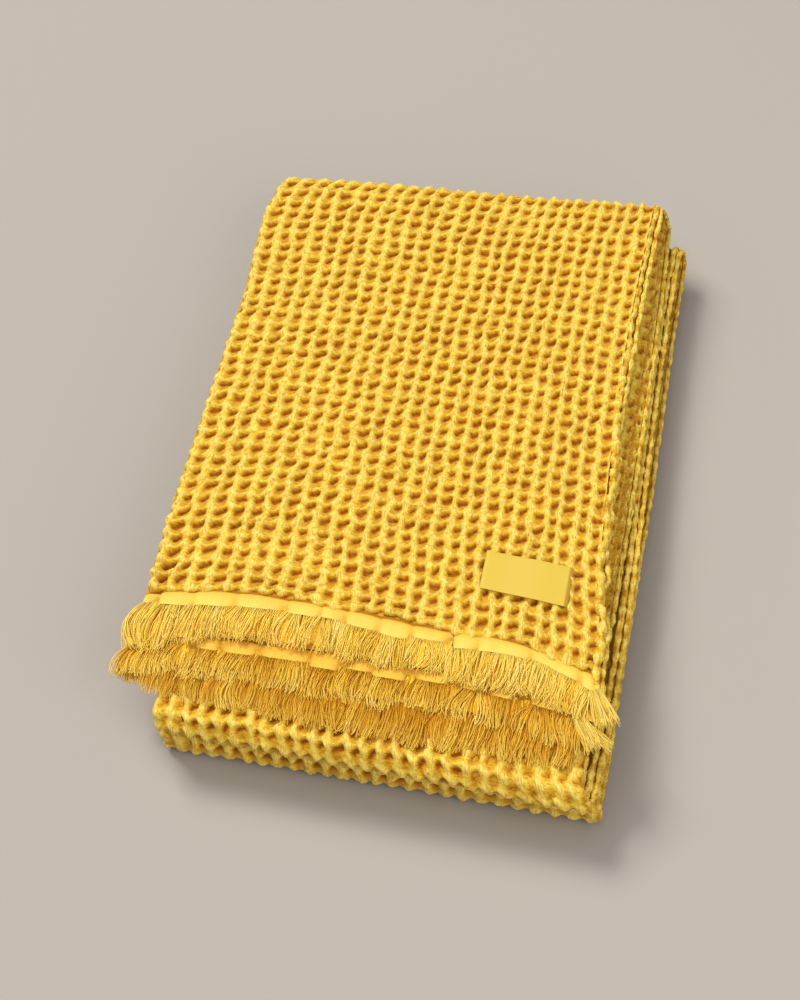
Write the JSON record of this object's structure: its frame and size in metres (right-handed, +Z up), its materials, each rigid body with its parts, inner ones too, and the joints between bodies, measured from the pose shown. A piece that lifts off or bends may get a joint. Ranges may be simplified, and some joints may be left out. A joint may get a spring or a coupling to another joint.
{
  "type": "waffle weave cotton blanket",
  "caption": "Cotton blanket in waffle weave, folded into a flat stack, with plain hems, cut fringe, rolled selvedges and a blank woven label.",
  "frame": {"origin": "middle of the folded stack's bounding box, on the floor it lies on", "axes": "+Z up from the floor, +Y from the front hem with its fringe to the back folds, +X to the right along the front hem, towards the selvedges"},
  "size_m": [0.3228, 0.5024, 0.0605],
  "materials": {
    "waffle_cotton": "soft matt waffle weave cotton",
    "cotton_fringe": "soft matt cut cotton yarn",
    "satin_label": "satin woven ribbon"
  },
  "bodies": {
    "root": {"waffle_blanket": "waffle_cotton", "front_fringe": "cotton_fringe", "far_fringe": "cotton_fringe", "woven_label": "satin_label"}
  },
  "joints": []
}
